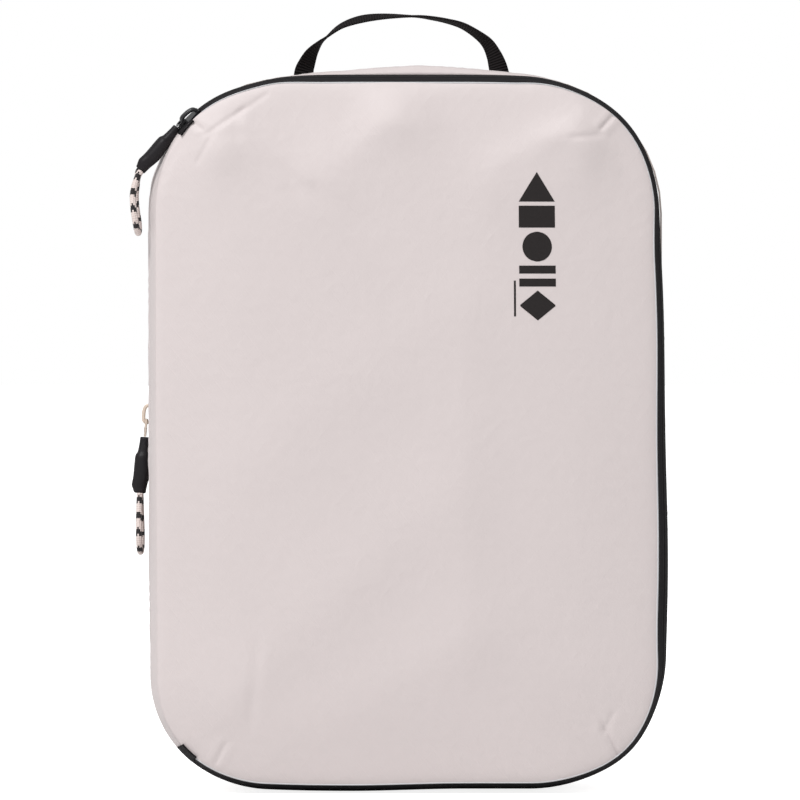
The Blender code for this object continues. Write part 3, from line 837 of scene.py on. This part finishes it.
front_cloth = band("front_gusset_cloth",
                   gusset_profile(front_low.y, front_high.y + seam_overlap, 12, 0.0, seam_overlap),
                   ripstop, spacing=gusset_step, thickness=cloth_thickness, loose=0.5)
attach(front_cloth, "front_half")
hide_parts("front_gusset")
front_width = front_high.y - front_low.y
stitch_inset = 0.0018
seam = stitches("front_gusset_stitches", front_high.y - stitch_inset, front_width - stitch_inset,
                front_width, 0.5)
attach(seam, "front_half")

top_end_angle = degrees(
    acos((corner_centres["top_left"][0] - fold_x) / (corner_radii["top_left"] - rim_inset)))
low_end_angle = 360 - degrees(
    acos((corner_centres["bottom_left"][0] - fold_x) / (corner_radii["bottom_left"] - rim_inset)))
zip_first, zip_last = far_at("top_left", top_end_angle), far_at("bottom_left", low_end_angle)


band_rows = 8


def on_band(share, lift=0.0):
    """A place on the slanting band, by its share of the way from the gusset to the panel's edge."""
    return rim_inset * share ** 1.15 - lift, band_rise + (band_fall - band_rise) * share, 0.0


def slanted_profile(lift):
    """Right across the slanting band, front to back, lifted in its middle."""
    return [on_band(1 - row / band_rows, lift * sin(pi * row / band_rows)) for row in range(band_rows + 1)]


side_cloth = band("hinge_side_cloth", slanted_profile(0.0003), ripstop, zip_last, zip_first + girth,
                  thickness=cloth_thickness, rimmed=True)
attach(side_cloth, "front_half")
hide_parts("hinge_side_gusset")

# ---- Main zip ----------------------------------------------------------------------------------
# A black zip along the top, the right side and the bottom, its coils inwards and flat woven tape outside.
# One tape is sewn to the gusset and the other to the edge of the front panel, and a folded tab closes
# each end.
black_tape = tape_finish("black_tape", (0.0165, 0.0152, 0.0166), 0.30, 0.14)
black_coil = nylon_finish("black_coil", (0.012, 0.011, 0.012))
slider_angle = 44.5
slider_reach = 0.0052
tab_last = far_at("top_left", slider_angle) - slider_reach
tab_length = 0.0112
slit_share = 0.50
slit_half = 0.012
zip_step = 0.003


def zip_tape(name, start, end, first, last):
    """One side of the main zip: flat from its seam, with a low ridge over the coil at the slit."""
    profile = []
    for row in range(band_rows + 1):
        share = end + (start - end) * row / band_rows
        to_slit = abs(share - slit_share)
        ridge = 0.00035 * np.exp(-((to_slit - 0.10) / 0.06) ** 2) - 0.0005 * np.exp(-(to_slit / 0.03) ** 2)
        profile.append(on_band(share, ridge))
    return band(name, profile, black_tape, first, last, zip_step, tape_thickness, rimmed=True)


cut_gap = 0.0003
run_first, run_last = tab_last + cut_gap, zip_last - tab_length
body_tape = zip_tape("main_tape_body", 0.0, slit_share - slit_half, run_first, run_last)
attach(body_tape, "front_half")
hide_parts("main_zip_body_tape")
lid_first = far_at("top_left", slider_angle) + slider_reach + 0.0012
lid_tape = zip_tape("main_tape_lid", slit_share + slit_half, 1.0, lid_first, run_last)
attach(lid_tape, "lid")
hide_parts("main_zip_lid_tape")
slit_inset, slit_y, _ = on_band(slit_share)
under_slit = slit_inset + 0.0016
for name, node, body, lean, first in (
        ("main_coil_body", "main_zip_body_coil", "front_half", 1, run_first),
        ("main_coil_lid", "main_zip_lid_coil", "lid", -1, lid_first)):
    coil = coil_row(name, ((under_slit, slit_y - lean * 0.0003),
                           (under_slit - lean * 0.0007, slit_y + lean * 0.0024)),
                    black_coil, first, run_last, rimmed=True)
    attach(coil, body)
    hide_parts(node)
over_edge = [(0.0047, rim_y - 0.0022, 0.0), (0.0044, rim_y - 0.0022, 0.0), (0.0041, rim_y - 0.0014, 0.0)]
for name, node, first, last in (
        ("main_zip_tab_top", "main_zip_top_end_tab", zip_first + cut_gap, tab_last + slider_reach),
        ("main_zip_tab_bottom", "main_zip_bottom_end_tab", zip_last - tab_length + cut_gap,
         zip_last - cut_gap)):
    tab = band(name, over_edge + slanted_profile(0.0007), black_tape, first, last, spacing=0.002,
               thickness=0.0011, rimmed=True)
    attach(tab, "front_half")
    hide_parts(node)

# ---- Front panel -------------------------------------------------------------------------------
# One cut of ripstop, darted at its four corners so that it domes over the stuffing, with soft folds
# that run in from the darts and from the top edge.  It is sewn down on the left, and turned under and
# stitched along the zip on the other three sides.
panel_y = rim_y + 0.0004

# Soft ridges pushed up by what is packed inside: from (x, z) to (x, z), how steeply each side falls
# away, how sharp its crest is and how far to each side it reaches.
ridges = (
    ((0.030, 0.240), (0.029, 0.080), 0.075, 0.004, 0.036),
    ((0.028, 0.076), (-0.054, 0.031), 0.075, 0.008, 0.034),
    ((-0.079, 0.167), (0.011, 0.238), 0.065, 0.012, 0.034),
    ((-0.090, 0.051), (0.016, 0.147), 0.080, 0.009, 0.036),
    ((0.011, 0.335), (0.039, 0.304), 0.110, 0.0020, 0.014),
    ((0.048, 0.318), (0.085, 0.339), 0.110, 0.0022, 0.014),
    ((-0.0816, 0.3283), (-0.0632, 0.3070), 0.300, 0.0012, 0.0060),
    ((-0.0805, 0.3376), (-0.0500, 0.3085), 0.360, 0.0012, 0.0070),
    ((-0.098, 0.334), (-0.090, 0.336), 0.180, 0.0020, 0.0060),
    ((0.0887, 0.3444), (0.0990, 0.3365), 0.160, 0.0014, 0.0055),
    ((0.0700, 0.3300), (0.0860, 0.3345), 0.130, 0.0030, 0.0100),
    ((0.0933, 0.3272), (0.1049, 0.3136), 0.100, 0.0018, 0.0070),
    ((-0.0900, 0.0400), (-0.0700, 0.0700), 0.060, 0.0040, 0.0140),
)
# Rounder bulges under the top edge: the middle, how high they stand and their two radii.
bulges = (
    (-0.006, 0.340, 0.0020, 0.016, 0.014),
    (0.090, 0.331, 0.0018, 0.014, 0.014),
    (-0.094, 0.326, 0.0014, 0.012, 0.014),
    (-0.040, 0.312, 0.0016, 0.020, 0.024),
    (0.045, 0.306, 0.0014, 0.020, 0.020),
)
# Creases pressed into the cloth: from (x, z) to (x, z), how deep each is and how wide.
creases = (
    ((-0.0990, 0.3325), (-0.0830, 0.3445), 0.0006, 0.0014),
    ((-0.0830, 0.3445), (-0.0720, 0.3515), 0.0004, 0.0016),
    ((-0.0980, 0.3305), (-0.1045, 0.3185), 0.0005, 0.0014),
    ((-0.1150, 0.3230), (-0.1255, 0.3050), 0.0005, 0.0025),
    ((0.0950, 0.3315), (0.0850, 0.3310), 0.0006, 0.0018),
    ((-0.0755, 0.0720), (-0.0785, 0.0400), 0.0005, 0.0030),
    ((0.0980, 0.0330), (0.1015, 0.0395), 0.0005, 0.0016),
    ((-0.0560, 0.3080), (-0.0240, 0.2900), 0.0004, 0.0060),
)
# Short sewn darts: from the edge inwards, with the depth of the groove.
darts = (
    ((-0.1085, 0.3385), (-0.1035, 0.3345), 0.0006),
    ((0.1045, 0.3420), (0.0985, 0.3355), 0.0008),
    ((0.1035, 0.0200), (0.0965, 0.0350), 0.0006),
    ((-0.0960, 0.0150), (-0.0915, 0.0240), 0.0005),
)


def roll_width(x, z):
    """How far in from the edge the panel keeps turning: scalloped along the top, narrow elsewhere."""
    top = 0.037 - 0.016 * np.cos(tau * (x + 0.0057) / 0.0925)
    side = 0.036 + 0.012 * smooth_step(x, -0.02, 0.08)
    return side + (top - side) * smooth_step(z, 0.285, 0.330)


def panel_front(x, z):
    """The front panel's y: its dome, the roll at its edge, soft ridges, creases and darts."""
    x, z = np.asarray(x, float), np.asarray(z, float)
    inside = np.maximum(edge_distance(x, z, rim_inset), 0)
    turned = inside / roll_width(x, z)
    blunt = 0.60 - 0.46 * smooth_step(z, 0.285, 0.330)
    levelled = 0.5 * (turned + 1 - np.sqrt((turned - 1) ** 2 + blunt ** 2)) + blunt ** 2 / 4
    rolled = 0.0056 * levelled + 0.0012 * (1 - np.exp(-inside / 0.0022))
    height = rolled + 0.0016 * (1 - (x / 0.13) ** 2) * (1 - ((z - 0.18) / 0.185) ** 2)
    for middle_x, middle_z, tall, radius_x, radius_z in bulges:
        height = height + tall * np.exp(-((x - middle_x) / radius_x) ** 2 - ((z - middle_z) / radius_z) ** 2)
    height = height + 1.12 * ridged(x, z, ridges)
    for start, end, depth, width in creases:
        beside, past = along_line(x, z, start, end)
        height = height - depth * np.exp(-(beside / width) ** 2 - (past / (2 * width)) ** 2)
    for start, end, depth in darts:
        beside, past = along_line(x, z, start, end)
        groove = np.exp(-(beside / 0.0010) ** 2) - 0.5 * np.exp(-((np.abs(beside) - 0.0032) / 0.0022) ** 2)
        height = height - depth * groove * np.exp(-(past / 0.0020) ** 2)
    return panel_y - np.maximum(height, 0)


def stretched(flat):
    """Move the panel's edge out to where the zip's band is narrower, easing off inwards."""
    x, z = flat[..., 0], flat[..., 1]
    step = 0.0005
    inside = edge_distance(x, z, rim_inset)
    slope_x = (edge_distance(x + step, z, rim_inset) - edge_distance(x - step, z, rim_inset)) / (2 * step)
    slope_z = (edge_distance(x, z + step, rim_inset) - edge_distance(x, z - step, rim_inset)) / (2 * step)
    reach = rim_inset * (1 - rim_share(x, z)) * np.exp(-(np.maximum(inside, 0) / 0.012) ** 2)
    return np.stack([x - slope_x * reach, z - slope_z * reach], -1)


def front_panel_cloth():
    flat = panel_grid(rim_inset, 70, 110, 110, 210)
    y = panel_front(flat[..., 0], flat[..., 1])
    moved = stretched(flat)
    piece = woven("front_panel_cloth", settle(np.stack([moved[..., 0], y, moved[..., 1]], 2)), flat, ripstop)
    thicken(piece, cloth_thickness)
    return piece


front_panel = front_panel_cloth()
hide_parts("lid_panel", "lid_hinge_strip")
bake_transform(front_panel)

# ---- Printed mark ------------------------------------------------------------------------------
# A column of plain shapes screen-printed in dark ink near the panel's upper right corner, with a thin
# rule beside it.
mark_middle, half_mark, half_disc = 0.0655, 0.00925, 0.0075
ink_height = 0.00012
mark_shapes = (
    ("triangle", 0.3125, 0.0150), ("square", 0.2955, 0.0110), ("disc", 0.2825, 0.0150),
    ("bar", 0.2655, 0.0040), ("bar", 0.2590, 0.0040), ("diamond", 0.2530, 0.0150),
)


def ink_finish():
    """Matt screen-printing ink, a little worn."""
    ink = Finish("printed_ink", (0.0160, 0.0130, 0.0130), 0.5, Specular_IOR_Level=0.2)
    wear = ink.noise(0.0012, 3.0)
    ink.feed("Base Color", ink.mix(wear, shade(ink.colour, 0.8), shade(ink.colour, 1.3)))
    ink.feed("Roughness", 0.36 + 0.14 * wear)
    ink.bump(wear, 0.00004)
    return ink.material


def printed(name, low, high, extent, finish):
    """A film of ink on the front panel between two heights: extent gives its two sides at a share."""
    rows, columns = 24, 16
    shares = np.linspace(0.002, 0.998, rows)
    flat = np.zeros((rows, columns, 2))
    for row, share in enumerate(shares):
        left, right = extent(share)
        flat[row, :, 0] = np.linspace(left, right, columns)
        flat[row, :, 1] = low + (high - low) * share
    y = panel_front(flat[..., 0], flat[..., 1]) - ink_height
    return woven(name, settle(np.stack([flat[..., 0], y, flat[..., 1]], 2)), flat, finish)


ink = ink_finish()
half_across = {
    "triangle": lambda share: half_mark * (1 - share),
    "square": lambda share: half_mark,
    "disc": lambda share: half_disc * (1 - (2 * share - 1) ** 2) ** 0.5,
    "bar": lambda share: half_mark,
    "diamond": lambda share: half_mark * (1 - abs(2 * share - 1)),
}
for index, (shape, top, tall) in enumerate(mark_shapes):
    half = half_across[shape]
    film = printed(f"mark_{shape}_{index}", top - tall, top,
                   lambda share: (mark_middle - half(share), mark_middle + half(share)), ink)
    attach(film, "lid")
rule = printed("mark_rule", 0.2400, 0.2580, lambda share: (0.0535, 0.0545), ink)
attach(rule, "lid")

# ---- Stitched edge of the front panel ----------------------------------------------------------
# The panel's ripstop is turned under all along the zip and stitched down to its tape.  The turned edge
# stands up as a fine pale roll.
pale_fold = tape_finish("folded_edge", (0.60, 0.60, 0.615), 0.06)
fold_rows, half_fold, fold_rise = 7, 0.00042, 0.0006
roll_profile = []
for row in range(fold_rows + 1):
    turn = pi * row / fold_rows
    roll_profile.append((rim_inset + 0.0003 + half_fold * cos(turn),
                         panel_y - fold_rise * sin(turn) - 0.0001, 0.0))
edge_fold = band("front_panel_edge_fold", roll_profile[::-1], pale_fold, lid_first, run_last, zip_step,
                 rimmed=True)
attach(edge_fold, "lid")

# ---- Sliders -----------------------------------------------------------------------------------
# Die-cast zinc sliders, enamelled black on the main zip and cream on the compression zip: a rounded
# top plate and bottom plate round the coils, and a bridge on top that holds the pull.


def enamel_finish(name, colour):
    """Stoved enamel over a slightly uneven casting."""
    enamel = Finish(name, colour, 0.34, Specular_IOR_Level=0.45, Coat_Roughness=0.15)
    uneven = enamel.noise(0.0015, 3.0, solid=True)
    enamel.feed("Base Color", enamel.mix(uneven, shade(enamel.colour, 0.88), shade(enamel.colour, 1.12)))
    enamel.feed("Roughness", 0.26 + 0.22 * uneven)
    enamel.feed("Coat Weight", 0.25 + 0.2 * uneven)
    enamel.bump(uneven, 0.00006)
    return enamel.material


black_enamel = enamel_finish("black_enamel", (0.0075, 0.0068, 0.0085))
cream_enamel = enamel_finish("cream_enamel", (0.60, 0.50, 0.42))
zip_slant = radians(18.5)
slit_depth = 0.0020
compression_slider_z = 0.1905
(slider_x, slider_z), (out_x, out_z) = edge(far_at("top_left", slider_angle))
slit_middle = (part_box("main_zip_body_tape")[1].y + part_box("main_zip_lid_tape")[0].y) / 2
# Each slider's middle, the way that closes its zip, the way that its top plate faces, and its enamel.
slider_frames = {
    "main": (
        np.array((slider_x - out_x * slit_depth, slit_middle, slider_z - out_z * slit_depth)),
        np.array((-out_z, 0, out_x)),
        np.array((out_x * cos(zip_slant), -sin(zip_slant), out_z * cos(zip_slant))),
        black_enamel),
    "compression": (
        np.array((-half_width, zip_middle, compression_slider_z)),
        np.array((0, 0, -1.0)),
        np.array((-1.0, 0, 0)),
        cream_enamel),
}
crown_width, crown_thickness, crown_step, edge_rounding, tab_enamel = 0.0032, 0.0019, 0.0004, 0.00022, 0.00026
# The bridge's line along the slider and away from its top plate.
crown_line = ((-0.0043, 0.0008), (-0.0042, 0.0020), (-0.0033, 0.0031), (-0.0012, 0.0038), (0.0014, 0.0040),
              (0.0031, 0.0039), (0.0041, 0.0032), (0.0043, 0.0020), (0.0042, 0.0008))


def rounded_section(facets, across_power, up_power):
    """A section between a round and an oblong one, from -1 to 1: its points across and up."""
    turns = tau * np.arange(facets) / facets
    return (np.sign(np.cos(turns)) * np.abs(np.cos(turns)) ** across_power,
            np.sign(np.sin(turns)) * np.abs(np.sin(turns)) ** up_power)


def ribbon(name, route, wide, width, thickness, finish):
    """A bar of rounded section along a route, with one fixed direction of its width."""
    across, up = rounded_section(16, 0.5, 0.5)
    rings, plans = [], []
    for place, ahead, far in zip(route, headings(route), travelled(route)):
        thick = np.cross(ahead, wide)
        thick /= np.linalg.norm(thick)
        rings.append(place + across[:, None] * wide * width / 2 + up[:, None] * thick * thickness / 2)
        plans.append(np.stack([np.full(len(across), far), across * width / 2], 1))
    return woven(name, np.array(rings), np.array(plans), finish, wrap=True, caps=True)


def softened(node, name, finish, fuller):
    """A casting with the node's shape, made fuller by the thickness of its enamel, and its edges rounded."""
    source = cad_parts[node]
    mesh = source.data.copy()
    mesh.transform(source.matrix_world)
    for vertex, direction in [(vertex, vertex.normal.copy()) for vertex in mesh.vertices]:
        vertex.co += direction * fuller
    mesh.materials.clear()
    mesh.materials.append(finish)
    mesh.uv_layers.new(name="weave")
    piece = bpy.data.objects.new(name, mesh)
    bpy.context.scene.collection.objects.link(piece)
    edges = piece.modifiers.new("rounded_edges", "BEVEL")
    edges.width = edge_rounding
    edges.segments = 3
    edges.limit_method = "ANGLE"
    edges.harden_normals = False
    mesh.shade_smooth()
    return piece


for side, (origin, along, out, enamel) in slider_frames.items():
    wide = np.cross(out, along)
    line = smooth_route([(forward, 0, height) for forward, height in crown_line], crown_step)
    crown = ribbon(f"{side}_slider_crown", origin + line[:, :1] * along + line[:, 2:] * out, wide,
                   crown_width, crown_thickness, enamel)
    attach(crown, f"{side}_slider")
    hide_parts(f"{side}_slider_bridge")
    for part, body, fuller in (("slider_body", "slider", 0.0), ("pull_tab", "pull", tab_enamel)):
        casting = softened(f"{side}_{part}", f"{side}_{part}_casting", enamel, fuller)
        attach(casting, f"{side}_{body}")
        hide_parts(f"{side}_{part}")

# ---- Grips -------------------------------------------------------------------------------------
# Soft black rubber grips, narrow at the tab and fuller in the middle.  Each is moulded over its tab's
# end and over both ends of the cord.


def grip_finish():
    """Matt moulded rubber with a fine grain."""
    rubber = Finish("moulded_grip", (0.0090, 0.0072, 0.0088), 0.5, Specular_IOR_Level=0.24)
    grain = rubber.noise(0.0006, 3.0, solid=True)
    rubber.feed("Base Color", rubber.mix(grain, shade(rubber.colour, 0.8), shade(rubber.colour, 1.25)))
    rubber.feed("Roughness", 0.42 + 0.2 * grain)
    rubber.bump(grain, 0.00008)
    return rubber.material


grip_rubber = grip_finish()
# Along the grip, its half width, its half thickness and how far it leans to its outer side.
grip_shape = (
    (0.0000, 0.0016, 0.0018, 0.0), (0.0004, 0.0021, 0.0022, 0.0), (0.0030, 0.0023, 0.0023, 0.0),
    (0.0075, 0.0030, 0.0028, 0.0), (0.0095, 0.0039, 0.0034, 0.0003), (0.0120, 0.0042, 0.0036, 0.0003),
    (0.0175, 0.0042, 0.0039, 0.0), (0.0210, 0.0038, 0.0038, 0.0002), (0.0235, 0.0036, 0.0037, 0.0006),
    (0.0250, 0.0034, 0.0036, 0.0007), (0.0270, 0.0031, 0.0031, 0.0004), (0.0283, 0.0029, 0.0028, 0.0002),
    (0.0286, 0.0024, 0.0023, 0.0002),
)
pin_along, pin_height, grip_gap, grip_step = 0.00302, 0.00255, 0.0003, 0.0006
# Each pull's lean, the length of its tab and how full its grip is.
pulls = {"main": (radians(4), 0.0050, 0.95), "compression": (radians(-5), 0.0085, 1.08)}
across, up = rounded_section(28, 0.85, 0.85)
for side, (swing, reach, plump) in pulls.items():
    origin, along, out, _ = slider_frames[side]
    down = along * cos(swing) - out * sin(swing)
    outer = out * cos(swing) + along * sin(swing)
    pin_axis = np.cross(out, along)
    head = origin + along * pin_along + out * pin_height + down * (reach + grip_gap)
    rings, plans = [], []
    for far, wide, thick, lean in smooth_route(grip_shape, grip_step):
        rings.append(head + down * far + across[:, None] * pin_axis * wide
                     + up[:, None] * outer * thick * plump + outer * lean)
        plans.append(np.stack([np.full(len(across), far), across * wide], 1))
    grip = woven(f"{side}_grip", np.array(rings), np.array(plans), grip_rubber, wrap=True, caps=True)
    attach(grip, f"{side}_pull")
    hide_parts(f"{side}_pull_grip")

# ---- Handle ------------------------------------------------------------------------------------
# One length of 10 mm black ribbed webbing, sewn down at both ends on the top gusset.  It stands up in
# an arch and turns half over on its way across.
strap_width, strap_thickness, rib_pitch, strap_step = 0.0100, 0.0013, 0.00135, 0.00045
handle_y = (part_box("handle_left_anchor")[0].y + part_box("handle_left_anchor")[1].y) / 2
fold_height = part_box("handle_left_anchor")[1].z + 0.0011
# The handle's line: across from the middle, up from where it folds, and how far the webbing is turned
# over there, in degrees.
handle_route = (
    (-0.0531, -0.0016, 0), (-0.0527, 0.0010, 14), (-0.0518, 0.0038, 30), (-0.0490, 0.0098, 54),
    (-0.0449, 0.0151, 80), (-0.0411, 0.0184, 93), (-0.0336, 0.0240, 106), (-0.0233, 0.0275, 113),
    (-0.0109, 0.0289, 106), (0.0040, 0.0289, 92), (0.0118, 0.0281, 86), (0.0203, 0.0265, 82),
    (0.0285, 0.0240, 76), (0.0362, 0.0193, 68), (0.0412, 0.0148, 56), (0.0444, 0.0090, 42),
    (0.0463, 0.0034, 22), (0.0472, -0.0006, 6), (0.0474, -0.0016, 0),
)


def webbing_finish():
    """Black polyester webbing with a rib at every weft.

    Its colour carries a painted highlight on each rib's crown and painted shade in the grooves between the
    ribs.
    """
    webbing = Finish("black_webbing", (0.0120, 0.0100, 0.0105), 0.8, Specular_IOR_Level=0.10)
    ribs = (webbing.along / rib_pitch).wave()
    warp = (webbing.across / 0.0009).wave()
    yarn = webbing.noise(0.0008, 3.0)
    # Painted highlight and shade: the colour is lighter on each rib's crown and darker in the groove between
    # ribs.
    tone = webbing.mix(0.5 + 0.5 * ribs, shade(webbing.colour, 0.45), shade(webbing.colour, 1.7))
    webbing.feed("Base Color", webbing.mix(yarn * 0.5, tone, shade(webbing.colour, 0.7)))
    webbing.feed("Roughness", 0.7 + 0.2 * yarn)
    webbing.bump(0.5 + 0.45 * ribs + 0.15 * warp + 0.2 * yarn, 0.0004)
    return webbing.material


black_webbing = webbing_finish()


def strap(name, route, wides, finish):
    """Webbing along a route, with the direction of its width at each point."""
    across, up = rounded_section(20, 0.35, 0.6)
    rings, plans = [], []
    for place, ahead, wide, far in zip(route, headings(route), wides, travelled(route)):
        wide = wide - ahead * wide.dot(ahead)
        wide /= np.linalg.norm(wide)
        thick = np.cross(ahead, wide)
        rib = 1 + 0.07 * sin(tau * far / rib_pitch)
        rings.append(place + across[:, None] * wide * strap_width / 2
                     + up[:, None] * thick * strap_thickness / 2 * rib)
        plans.append(np.stack([np.full(len(across), far), across * strap_width / 2], 1))
    return woven(name, np.array(rings), np.array(plans), finish, wrap=True, caps=True)


def handle_strap():
    """The arch.  Its turn is smoothed with its line, as a length small enough not to add steps."""
    turn_scale = 10000
    route = smooth_route([(x, up, turn / turn_scale) for x, up, turn in handle_route], strap_step)
    turns = np.radians(route[:, 2] * turn_scale)
    places = np.stack([route[:, 0], np.full(len(route), handle_y), fold_height + route[:, 1]], 1)
    to_front = np.array((0, -1.0, 0))
    in_plane = np.cross(to_front, headings(places))
    wides = in_plane * np.cos(turns)[:, None] + to_front * np.sin(turns)[:, None]
    return strap("handle_strap", places, wides, black_webbing)


webbing_loop = handle_strap()
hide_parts("handle_webbing", "handle_left_anchor", "handle_right_anchor")
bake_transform(webbing_loop)
half_tail, tail_rise, tail_droop = 0.0080, 0.0010, 0.0004
for side, foot_x in (("left", handle_route[0][0]), ("right", handle_route[-1][0])):
    line = np.array([(foot_x, handle_y + far,
                      standing_height + tail_rise - tail_droop * (far / half_tail) ** 4)
                     for far in np.linspace(-half_tail, half_tail, 25)])
    tail = strap(f"handle_{side}_tail", line, np.tile((1.0, 0, 0), (len(line), 1)), black_webbing)
    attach(tail, "back_half")
